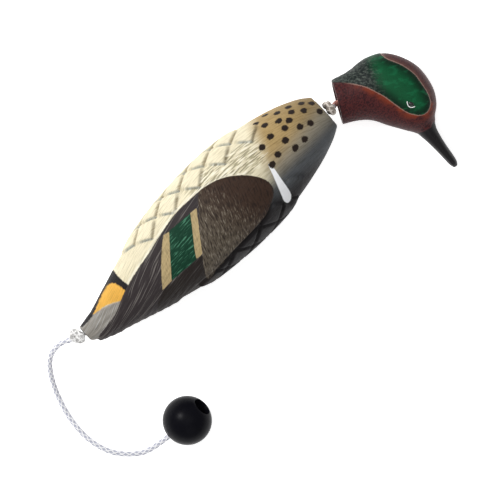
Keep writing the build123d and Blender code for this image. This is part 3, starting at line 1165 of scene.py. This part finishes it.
    def skeleton(self) -> tuple[np.ndarray, np.ndarray, np.ndarray]:
        """Lay smooth rings through the stations and round the two ends off.

        Returns:
            The rings in mm, each ring's share of its full size, and its half depth in mm.
        """
        table = np.array(self.stations)
        closing, inset = np.array(self.ends).T
        first, last = table[0, 0], table[-1, 0]
        count = self.rows - 2 * len(closing)
        inner = np.linspace(first + self.end_gap, last - self.end_gap, count)
        places = np.concatenate([first + inset, inner, (last - inset)[::-1]])
        fit = np.concatenate([closing, np.ones(count), closing[::-1]])
        sizes = flow_through(table[:, 0], table[:, 1:], places)
        deep, wide = sizes[:, 1] * fit, sizes[:, 2] * fit
        angle = round_angles(self.sides)
        power = 2 / self.roundness
        up = np.sign(np.cos(angle)) * np.abs(np.cos(angle)) ** power
        out = np.sign(np.sin(angle)) * np.abs(np.sin(angle)) ** power
        rings = np.empty((len(places), self.sides, 3))
        rings[..., 0] = self.tail_tip + places[:, None]
        rings[..., 1] = sizes[:, :1] + deep[:, None] * up
        rings[..., 2] = self.middle + wide[:, None] * out
        return rings, fit, deep

    def zones(self, rings: np.ndarray, deep: np.ndarray) -> dict[str, np.ndarray]:
        """Mark how far each point lies inside each painted zone.

        Args:
            rings: the body's rings in mm.
            deep: each ring's half depth in mm.

        Returns:
            One grid of numbers for each zone, and the skin's own coordinates.
        """
        x, y = rings[..., 0], rings[..., 1]
        marks = {
            name: depth_inside(x, y, rounded(getattr(self, name)))
            for name in ("wing", "covert", "vent", "saffron", "tail", "stripe")
        }
        for name in ("speculum", "scapular"):
            marks[name] = depth_inside(x, y, getattr(self, name))
        marks["bands"] = np.maximum(
            depth_inside(x, y, self.rear_band), depth_inside(x, y, self.front_band)
        )
        marks["forward"] = x + 0.4 * y
        angle = round_angles(self.sides)
        spread = np.sqrt(35 * np.maximum(deep, 6))[:, None]
        round_way = spread * np.minimum(angle, math.tau - angle)
        marks[SKIN_MARK] = np.stack([x, round_way, 0 * x], -1)
        height = np.abs(rings[..., 2] - self.middle)
        spots = np.full(x.shape, -FAR)
        for px, py in self.spots:
            nearest = np.unravel_index(np.argmin(np.hypot(x - px, y - py)), x.shape)
            away = np.hypot(np.hypot((x - px) / 1.12, y - py), height - height[nearest])
            spots = np.maximum(spots, self.spot_radius - away)
        marks["spots"] = spots
        return marks

    def relief(
        self, rings: np.ndarray, marks: dict[str, np.ndarray], pads: np.ndarray
    ) -> np.ndarray:
        """Work out how far wings, pads, feathers and grain stand proud.

        Args:
            rings: the body's rings in mm.
            marks: the zones' depths.
            pads: each point's share of a pad's height.

        Returns:
            The rise of each point in mm.
        """
        x, y = rings[..., 0], rings[..., 1]
        wing = soft_step(-0.2, 1.4, marks["wing"])
        covert = soft_step(-0.3, 1.5, marks["covert"])
        crown = (self.covert_rise - self.covert_edge) * soft_step(0, 12, marks["covert"])
        vanes = np.sin((y - 0.24 * x) * math.tau / self.vane_pitch) * wing * (1 - covert)
        tail = np.sin((y + 0.06 * x) * math.tau / self.tail_pitch) * soft_step(0, 2, marks["tail"])
        return (
            self.pad_rise * pads
            + self.wing_rise * wing * (1 - soft_step(0, 1, pads))
            + covert * (self.covert_edge + crown)
            + self.vane_rise * vanes * soft_step(0.6, 2.0, marks["wing"])
            + self.barb_rise * covert * grain(rings, (3.2, 1.3, 1.3), 67)
            + self.foam_rise * grain(rings, (7, 1.6, 1.6), 8) * (1 - covert)
            + self.tail_rise * tail
        )

    def build(self) -> bpy.types.Object:
        """Mould the body, paint it and set it on its body.

        Returns:
            The body piece.
        """
        rings, fit, deep = self.skeleton()
        x, y = rings[..., 0], rings[..., 1]
        marks = self.zones(rings, deep)
        angle = round_angles(self.sides)
        turn = np.degrees(np.minimum(angle, math.tau - angle))[None, :] + 0 * x
        high, fore_shadow, aft_shadow = self.pads(x - self.tail_tip, turn)
        clear = soft_step(-0.3, -1.6, marks["wing"]) * soft_step(0.0, -2.0, marks["stripe"])
        lift = self.relief(rings, marks, high * clear)
        lift = np.minimum(lift, self.most_rise) * soft_step(0.93, 1.0, fit)[:, None]

        on_belly = clear * soft_step(-20, -2, y)
        # painted highlight along the wing's upper edge, laid into the ground colour
        rim = soft_step(-2.2, -0.9, marks["wing"]) * soft_step(0, -0.6, marks["wing"])
        rim = rim * soft_step(40, 10, x) * soft_step(-112, -96, x) * soft_step(0, 3, y)
        # painted shadows along the pads' edges on the belly side
        ground = lay_over(self.ground(x, y), fore_shadow * on_belly, self.fore_groove_shadow)
        ground = lay_over(ground, aft_shadow * on_belly, self.aft_groove_shadow)
        marks["ground"] = lay_over(ground, rim * 0.55, self.wing_edge_highlight)
        between = soft_step(-22, -4, x) * soft_step(50, 36, x) * soft_step(-1, 6, y)
        between = between * soft_step(30, 25, y + 0.15 * x) * soft_step(0.3, 0.0, high * clear)
        marks["cut"] = between * soft_step(-0.2, -1.2, marks["wing"])

        rings = rings + outward_ways(rings) * lift[..., None]
        piece = rolled_tube("duck_foam_body", rings, marks, angle=70)
        dress(piece, FoamPaint().material())
        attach(piece, Body.DUCK.value)
        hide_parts("foam_body")
        return piece


# --------------------------------------------------------------------------- head


@dataclass
class Head:
    """The hollow painted head with its bill and eyes."""

    neck_hole: Place = (104.5, -1.3, 22.1)
    yaw: float = -28.2
    slope: float = 2.0
    roll: float = 11.0
    wall: float = 2.6
    lip: float = 1.0
    sides: int = 168
    inner_rows: int = 34
    outer_rows: int = 190
    hollow: tuple[float, float] = (5.2, 0.12)
    droops: Outline = ((0.75, 0.5), (0.4, 0.8), (0.03, 0.9))
    stations: tuple[tuple[float, float, float, float, float], ...] = (
        (0, 0, 0, 16, 14),
        (12, 1.3, -1, 17.6, 14.6),
        (24, 2.8, -8, 22.0, 16),
        (35.3, 0.3, -17, 24.9, 17.4),
        (47.3, -8.1, -30, 23.3, 18),
        (54.6, -18.3, -41, 18.5, 16.6),
        (56.5, -25.8, -53, 13.6, 13.4),
        (56.2, -31.4, -61, 8.8, 9.9),
        (57.2, -37.2, -66, 6.2, 8.1),
        (60, -44, -66, 4.8, 7.2),
        (63.2, -51.2, -66, 3.9, 7.4),
        (66.2, -57.8, -67, 3.4, 7.6),
        (68.2, -62.4, -69, 2.9, 6.6),
        (69.2, -65, -70, 1.9, 4.2),
    )
    feather_rise: float = 0.34
    patch_rise: float = 0.30
    bill_edge_rise: float = 0.25
    bill_seam_rise: float = 0.10
    mouth_depth: float = 0.32
    nostril_depth: float = 0.55
    patch: Outline = (
        (2, 14), (10, 11), (17, 7.7), (22.5, 4.4), (27, 0.3), (33, -5.4), (38.5, -12.6),
        (42.6, -17.6),
        (46, -21), (53, -24.6), (57.6, -24.2), (61, -21.3), (62.8, -17.4), (62.6, -12.3),
        (61.4, -7.5),
        (59.6, -2.6), (57.5, 3.6), (54.4, 8.2), (50, 13.2), (45.5, 16.8), (42, 19.2), (39.8, 21.6),
        (38, 24), (36, 40), (-10, 40), (-10, 15),
    )
    bill: Outline = (
        (61.3, -31.5), (58.5, -35), (53.2, -36.2), (48.9, -36.3), (40, -45), (45, -80), (90, -80),
        (85, -28),
    )
    nostril: tuple[float, float] = (60.2, -41.5)
    eye_at: tuple[float, float] = (49.1, -15.2)
    eye_size: Place = (1.95, 1.5, 0.8)
    eye_pinch: float = 0.12
    lid_proud: float = 0.12
    lid_radius: float = 0.34
    lid: Outline = ((46.9, -12.6), (46.4, -15.2), (47.6, -17.1), (49.6, -17.8), (51.2, -17.5))

    def axes(self) -> tuple[np.ndarray, np.ndarray, np.ndarray, np.ndarray]:
        """Work out the neck hole and the neck's, crown's and side's directions.

        Returns:
            The hole's place in mm and the three directions.
        """
        yaw, slope, roll = (math.radians(a) for a in (self.yaw, self.slope, self.roll))
        level = np.array((-math.sin(yaw), math.cos(yaw), 0.0))
        neck = np.array(
            (math.cos(yaw) * math.cos(slope), math.sin(yaw) * math.cos(slope), -math.sin(slope))
        )
        above = np.cross(neck, level)
        crown = level * math.cos(roll) + above * math.sin(roll)
        return np.array(self.neck_hole), neck, crown, np.cross(neck, crown)

    def seen_from_side(self, local: np.ndarray) -> tuple[np.ndarray, np.ndarray]:
        """Find where points of the head fall on its side profile as it lies.

        Args:
            local: places in mm from the neck hole.

        Returns:
            Distances along the neck and towards the crown, in mm.
        """
        c, s = math.cos(math.radians(self.yaw)), math.sin(math.radians(self.yaw))
        x, y = local[..., 0], local[..., 1]
        return x * c + y * s, (y * c - x * s) / math.cos(math.radians(self.roll))

    def ring_places(self, places: np.ndarray, thin: float | np.ndarray) -> np.ndarray:
        """Lay rings through the head's stations.

        Args:
            places: station numbers, whole or part.
            thin: how far inside the outer skin, in mm.

        Returns:
            Rows x sides x 3 places in mm.
        """
        origin, neck, crown, side = self.axes()
        table = np.array(self.stations, float)
        spots = flow_through(np.arange(len(table), dtype=float), table, places)
        lean = np.radians(spots[:, 2])[:, None]
        upward = crown * np.cos(lean) - neck * np.sin(lean)
        angle = round_angles(self.sides)[None, :, None]
        tall, wide = (np.maximum(spots[:, k] - thin, 0.3)[:, None, None] for k in (3, 4))
        centre = origin + spots[:, :1] * neck + spots[:, 1:2] * crown
        spokes = tall * np.cos(angle) * upward[:, None] + wide * np.sin(angle) * side
        return centre[:, None] + spokes

    def skeleton(self) -> tuple[np.ndarray, np.ndarray]:
        """Lay rings from the hollow's bottom out over the neck's rim to the bill's tip.

        Returns:
            The rings in mm, and whether each ring is on the outer skin.
        """
        _, _, crown, _ = self.axes()
        back = np.linspace(*self.hollow, self.inner_rows)
        inside = self.ring_places(back, self.wall + self.lip * soft_step(0.7, 0.45, back))
        deep = inside[:1].mean(axis=1, keepdims=True)
        cup = [deep + (inside[:1] - deep) * k for k in (0.02, 0.4, 0.8)]
        walls = (self.wall + self.lip, self.wall * 0.9, 0.5)
        rim = [self.ring_places(np.array([0.0]), wall) for wall in walls]
        stops = np.linspace(0.06, len(self.stations) - 1.0, self.outer_rows)
        outside = self.ring_places(np.concatenate([[0.02], stops]), 0.0)
        tip = outside[-1:].mean(axis=1, keepdims=True)
        nose = [tip + (outside[-1:] - tip) * k - crown * droop for k, droop in self.droops]
        rings = np.concatenate([*cup, inside, *rim, outside, *nose])
        return rings, np.arange(len(rings)) >= len(cup) + len(inside) + len(rim)

    def shell(self) -> bpy.types.Object:
        """Mould the shell with its open neck, and paint it.

        Returns:
            The head piece.
        """
        origin, neck, crown, side = self.axes()
        rings, skin = self.skeleton()
        local = rings - origin
        along, rise, across = local @ neck, local @ crown, local @ side
        shown = self.seen_from_side(local + side * (np.abs(across) - across)[..., None])
        marks = {
            "patch": depth_inside(*shown, rounded(self.patch)),
            "bill": depth_inside(*shown, self.bill),
            "along": along,
            "belowness": 27.0 - 0.62 * shown[0] - 0.78 * shown[1],
        }
        patch, bill = marks["patch"], marks["bill"]
        feathers = soft_step(36, 10, along) * soft_step(0.6, 3.0, along)
        seam = np.exp(-((across / 0.35) ** 2)) * (bill < -1)
        height = np.cos(round_angles(self.sides))[None, :]
        mouth = np.exp(-(((height + 0.2) / 0.13) ** 2)) * soft_step(-0.5, 2, bill)
        hole = np.hypot(along - self.nostril[0], (rise - self.nostril[1]) / 1.7)
        lift = (
            self.feather_rise * feathers * grain(local, (2.2, 1.3, 1.3), -28)
            + self.patch_rise * soft_step(-0.4, 0.6, patch) * soft_step(14, 26, along)
            + self.bill_edge_rise * soft_step(-0.3, -0.9, bill) * soft_step(-5, -1, bill)
            + self.bill_seam_rise * seam
            - self.mouth_depth * mouth
            - self.nostril_depth * soft_step(1.0, 0.4, hole)
        )
        rings = rings + outward_ways(rings) * (lift * skin[:, None])[..., None]
        rings[..., 2] = np.maximum(rings[..., 2], FLOOR_GAP)
        piece = rolled_tube("duck_head", rings, marks, angle=55)
        dress(piece, HeadPaint().material())
        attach(piece, Body.HEAD.value)
        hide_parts("head_shell_right", "head_shell_left")
        return piece

    def on_skin(
        self, tree: BVHTree, at: tuple[float, float], hand: int
    ) -> tuple[Vector, Vector]:
        """Find the skin's place and direction beside a point of the profile.

        Args:
            tree: the head's surface.
            at: (along, up) in mm.
            hand: 1 for the right side, -1 for the left.

        Returns:
            The place in mm and the outward direction.
        """
        origin, neck, crown, side = self.axes()
        c, s = math.cos(math.radians(self.yaw)), math.sin(math.radians(self.yaw))
        rise = at[1] * math.cos(math.radians(self.roll))
        above = origin + np.array((at[0] * c - rise * s, at[0] * s + rise * c, 90.0))
        place, _, _, _ = tree.ray_cast(Vector(above) * MM, Vector((0, 0, -1)))
        local = np.array(place) / MM - origin
        middle = origin + local @ neck * neck + local @ crown * crown
        start = Vector(middle + hand * 40 * side) * MM
        place, way, _, _ = tree.ray_cast(start, Vector(-hand * side))
        way = way if way.dot(Vector(hand * side)) > 0 else -way
        return place / MM, way

    def eyes(self, head: bpy.types.Object) -> list[bpy.types.Object]:
        """Set a glossy eye and its white lid line on each side.

        Args:
            head: the head piece.

        Returns:
            The four small pieces.
        """
        _, neck, crown, _ = self.axes()
        tree = BVHTree.FromObject(head, bpy.context.evaluated_depsgraph_get())
        made = []
        glass = Lacquer("eye_enamel", (0.006, 0.005, 0.006), 0.1).material()
        white = Lacquer("lid_enamel", (0.85, 0.85, 0.85), 0.3).material()
        bead = Braid(radius=self.lid_radius, relief=0.0, sides=16, spacing=0.12)
        for hand, word in ((1, "right"), (-1, "left")):
            place, way = self.on_skin(tree, self.eye_at, hand)
            level = (Vector(neck) * 0.8 - Vector(crown) * 0.6).normalized()
            level = (level - way * level.dot(way)).normalized()
            cross = way.cross(level)
            start_afresh()
            bpy.ops.mesh.primitive_uv_sphere_add(segments=40, ring_count=24, radius=1.0)
            eye = bpy.context.object
            eye.name = eye.data.name = f"duck_eye_{word}"
            long, wide, tall = self.eye_size
            for vertex in eye.data.vertices:
                a, b, c = vertex.co
                across = cross * b * wide * (1 - self.eye_pinch * a)
                vertex.co = (place + level * a * long + across + way * c * tall) * MM
            close_up(eye, 60)
            dress(eye, glass)
            lid_line = []
            for at in self.lid:
                spot, lift = self.on_skin(tree, at, hand)
                lid_line.append(tuple((spot + lift * self.lid_proud) * MM))
            lid = bead.along_line(f"duck_eye_line_{word}", spline_line("lid", lid_line) / MM)
            dress(lid, white)
            for piece in (eye, lid):
                rest_on_floor(piece)
                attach(piece, Body.HEAD.value)
            made += [eye, lid]
        return made

    def build(self) -> list[bpy.types.Object]:
        """Make the head and its eyes."""
        head = self.shell()
        return [head] + self.eyes(head)


# --------------------------------------------------------------------------- ropes


@dataclass(frozen=True)
class Knot:
    """A tied knot, the body that it rides and the solid that it replaces: sizes in mm."""

    name: str
    body: Body
    node: str
    centre: Place
    axis: Place
    loop: float = 2.35
    swell: float = 1.1
    depth: float = 1.9
    strand: float = 1.5
    pitch: float = 4.4
    colour: Colour = (0.93, 0.92, 0.90)
    shade: Colour = (0.50, 0.49, 0.48)

    def build(self) -> bpy.types.Object:
        """Tie the knot and set it in its solid's place.

        Returns:
            The knot piece.
        """
        plait = Braid(radius=self.strand, pitch=self.pitch, strands=2, sides=24)
        centre, axis = Vector(self.centre), Vector(self.axis).normalized()
        knot = plait.lump(self.name, centre, axis, self.loop, self.swell, self.depth)
        dress(knot, PlaitedRope(f"{self.name}_plait", self.colour, self.shade).material())
        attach(knot, self.body.value)
        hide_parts(self.node)
        return knot


@dataclass
class Ropes:
    """The neck rope, the knots and the toss cord."""

    braid: Braid = Braid()
    neck_start: Place = (97.9, 0.0, 40.0)
    pivot: Place = (102.298, -0.119, 22.187)
    neck_colour: Colour = (0.80, 0.78, 0.76)
    neck_dye: Colour = (0.42, 0.115, 0.075)
    cord_length: float = 187.0
    cord_width: float = 3.8
    route: tuple[Place, ...] = (
        (-138.6, 2.1, 39.95),
        (-142.4, 4.0, 39.4),
        (-151.5, 8.6, 38),
        (-161.5, 7.4, 31.5),
        (-168.6, 1.2, 22.2),
        (-173.8, -6.6, 12.6),
        (-178.3, -16, 5.6),
        (-182.2, -28, 2.4),
        (-184.4, -41.5, 2),
        (-184.1, -55.2, 2),
        (-180.4, -68.4, 2),
        (-173, -79.4, 2),
        (-156.81, -91.7, 2),
        (-120.33, -91.7, 19.01),
    )
    tail_knot: Knot = Knot(
        "tail_knot_tied",
        Body.TAIL,
        "tail_knot",
        centre=(-139.0, 3.7, 40.0),
        axis=(-0.62, 0.78, 0),
        loop=2.3,
        swell=1.15,
        depth=4.3,
        strand=1.7,
    )
    breast_knot: Knot = Knot(
        "breast_knot_tied",
        Body.BREAST,
        "breast_knot",
        centre=(97.2, -0.8, 40.0),
        axis=(1.0, -0.08, -0.05),
        loop=3.1,
        swell=1.35,
        depth=1.5,
        strand=1.7,
        colour=(0.66, 0.58, 0.50),
        shade=(0.30, 0.25, 0.21),
    )

    def neck_rope(self) -> bpy.types.Object:
        """Run the rope from the breast knot into the head, bending at the neck's pivot.

        Returns:
            The neck rope piece.
        """
        knot, pivot = Vector(self.neck_start), Vector(self.pivot)
        _, neck, _, _ = Head().axes()
        into, down = Vector(neck), (pivot - knot).normalized()
        route = [
            knot,
            knot.lerp(pivot, 0.45) + Vector((0.0, -2.4, 0)),
            pivot - down * 3.6 + Vector((-0.9, -1.5, 0)),
            pivot + into * 2.6,
            pivot + into * 8.0,
        ]
        line = spline_line("neck_rope_line", [tuple(p * MM) for p in route])
        rope = self.braid.along_line("neck_rope_plait", line / MM)
        dyed = PlaitedRope(
            "neck_rope_dyed", self.neck_colour, dyed=self.neck_dye, dye_from=8.5, dye_to=13.5
        )
        dress(rope, dyed.material())
        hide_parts("neck_rope", "head_rope")
        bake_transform(rope)
        return rope

    def toss_cord(
        self, ball: bpy.types.Object, ball_knot: bpy.types.Object
    ) -> bpy.types.Object:
        """Lay the toss cord from the tail knot to the ball.

        Args:
            ball: the ball on its end; not used.
            ball_knot: the knot in the ball; not used.

        Returns:
            The cord piece.
        """
        line = spline_line("toss_line", [tuple(c * MM for c in point) for point in self.route])
        cord = self.braid.along_line("toss_cord_plait", line / MM)
        dress(cord, PlaitedRope("toss_cord_plait_white").material())
        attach(cord, Body.LINE.value)
        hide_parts("toss_cord")
        return cord


# --------------------------------------------------------------------------- ball


@dataclass
class Ball:
    """The toss ball with a cord bore and a deep recess for the knot."""

    radius: float = 17.3
    centre: Place = (-124.0, -91.7, 17.3)
    bore: float = 2.5
    recess: float = 6.5
    seat: float = 3.3
    lip: float = 0.9
    bore_tilt: float = 25.0
    knot_at: float = 7.8
    gloss: Lacquer = Lacquer("ball_gloss", (0.003, 0.003, 0.005), 0.33, 0.05, 0.0)

    def bore_way(self) -> Vector:
        """Return the bore's direction, towards the recess."""
        tilt = math.radians(self.bore_tilt)
        return Vector((math.cos(tilt), 0.0, math.sin(tilt)))

    def profile(self) -> Outline:
        """Return the wall's outline from the recess over the ball and back through the bore.

        Returns:
            (radius, height along the bore) corners in mm.
        """
        radius, bore, recess, seat = self.radius, self.bore, self.recess, self.seat
        top = math.asin((recess + self.lip) / radius)
        foot = math.pi - math.asin((bore + self.lip) / radius)
        low = -math.sqrt(radius**2 - bore**2)
        high = math.sqrt(radius**2 - recess**2)
        return (
            *((radius * math.sin(a), radius * math.cos(a)) for a in np.linspace(top, foot, 56)),
            (bore + 0.3, low + 0.25),
            (bore, low + 0.9),
            (bore, seat - 0.5),
            (bore + 0.5, seat),
            (recess - 0.8, seat),
            (recess - 0.2, seat + 0.3),
            (recess, seat + 1.0),
            (recess, high - 0.9),
            (recess + 0.25, high - 0.2),
        )

    def knot(self) -> Knot:
        """Return the knot that sits in the recess."""
        way = self.bore_way()
        centre = tuple(Vector(self.centre) + way * self.knot_at)
        return Knot("ball_knot_tied", Body.LINE, "ball_knot", centre, tuple(way))

    def build(self) -> bpy.types.Object:
        """Turn the ball and finish it.

        Returns:
            The ball piece.
        """
        centre = Vector(self.centre)
        ball = lathe("toss_ball_turned", self.profile(), centre, self.bore_way(), 96)
        dress(ball, self.gloss.material())
        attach(ball, Body.BALL.value)
        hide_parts("toss_ball")
        return ball


@dataclass
class Fittings:
    """The solids that keep their shape and only get a finish."""

    def build(self) -> list[bpy.types.Object]:
        """Dress the carried-over solids.

        Returns:
            The dressed solids.
        """
        bush = MouldedPlastic("bush_plastic", (0.03, 0.03, 0.03), 0.5)
        finishes = {
            ("core_tube",): MouldedPlastic("sleeve_plastic", (0.55, 0.55, 0.53), 0.45),
            ("tail_grommet", "breast_grommet"): bush,
            ("neck_plug",): MouldedPlastic("neck_plug_plastic", (0.025, 0.02, 0.02), 0.55),
            ("head_washer",): BrightSteel(),
            ("body_rope", "head_knot"): InnerRope(),
        }
        dressed = []
        for nodes, finish in finishes.items():
            material = finish.material()
            for node in nodes:
                piece = bpy.data.objects[node]
                dress(piece, material)
                dressed.append(piece)
        return dressed


# --------------------------------------------------------------------------- studio


@dataclass
class Studio:
    """The camera, the lights and the pale floor."""

    turn: float = -43.2
    aim: tuple[float, float] = (-10.5, -34.9)
    level: float = 40.0
    distance: float = 4000.0
    span: float = 347.5
    sensor: float = 36.0
    sky: float = 0.32
    floor_size: float = 8.0
    floor_glow: float = 0.72
    lights: tuple[tuple[str, Place, float, float], ...] = (
        ("key", (-0.35, 0.95, 1.3), 0.4, 18),
        ("top", (0.1, 0.0, 1.8), 1.4, 5),
        ("far", (-0.6, -1.1, 0.9), 1.0, 1.5),
    )

    def camera(self) -> None:
        """Hang the camera straight above the duck."""
        data = bpy.data.cameras.new("overhead")
        data.sensor_width = self.sensor
        data.lens = self.sensor * self.distance / self.span
        camera = bpy.data.objects.new("overhead", data)
        bpy.context.collection.objects.link(camera)
        camera.location = Vector((*self.aim, self.level + self.distance)) * MM
        camera.rotation_euler = (0, 0, math.radians(self.turn))
        bpy.context.scene.camera = camera

    def light(self, name: str, place: Place, size: float, power: float) -> None:
        """Hang one soft square light that faces the duck.

        Args:
            name: the light's name.
            place: where it hangs, in metres.
            size: its side in metres.
            power: its watts.
        """
        data = bpy.data.lights.new(name, "AREA")
        data.size, data.energy = size, power
        lamp = bpy.data.objects.new(name, data)
        bpy.context.collection.objects.link(lamp)
        lamp.location = place
        lamp.rotation_euler = (-Vector(place)).to_track_quat("-Z", "Y").to_euler()

    def build(self) -> None:
        """Set up the whole studio."""
        self.camera()
        for name, place, size, power in self.lights:
            self.light(name, place, size, power)
        world = bpy.data.worlds.new("studio")
        world.use_nodes = True
        sky = world.node_tree.nodes["Background"]
        sky.inputs["Color"].default_value = (1, 1, 1, 1)
        sky.inputs["Strength"].default_value = self.sky
        bpy.context.scene.world = world
        bpy.context.scene.view_settings.view_transform = "Standard"
        start_afresh()
        bpy.ops.mesh.primitive_plane_add(size=self.floor_size)
        floor = bpy.context.object
        floor.name = "floor"
        paint = Paint("pale_floor", 0.9, Specular_IOR_Level=0.1)
        paint.shader.inputs["Emission Color"].default_value = (1, 1, 1, 1)
        paint.shader.inputs["Emission Strength"].default_value = self.floor_glow
        dress(floor, paint.finish((0.9, 0.9, 0.9)))


def report(pieces: list[bpy.types.Object]) -> None:
    """Log each piece's name and how many faces it has."""
    for piece in pieces:
        LOG.info("%s: %d faces", piece.name, len(piece.data.polygons))


def main() -> None:
    """Build the duck in order."""
    logging.basicConfig(level=logging.INFO, format="%(name)s %(message)s")
    Studio().build()
    ropes, ball = Ropes(), Ball()
    turned = ball.build()
    ball_knot = ball.knot().build()
    cord = ropes.toss_cord(turned, ball_knot)
    knots = [ropes.tail_knot.build(), ropes.breast_knot.build()]
    report([turned, ball_knot, cord, *knots, ropes.neck_rope()])
    report([FoamBody().build()])
    report(Head().build())
    report(Fittings().build())


if __name__ == "__main__":
    main()
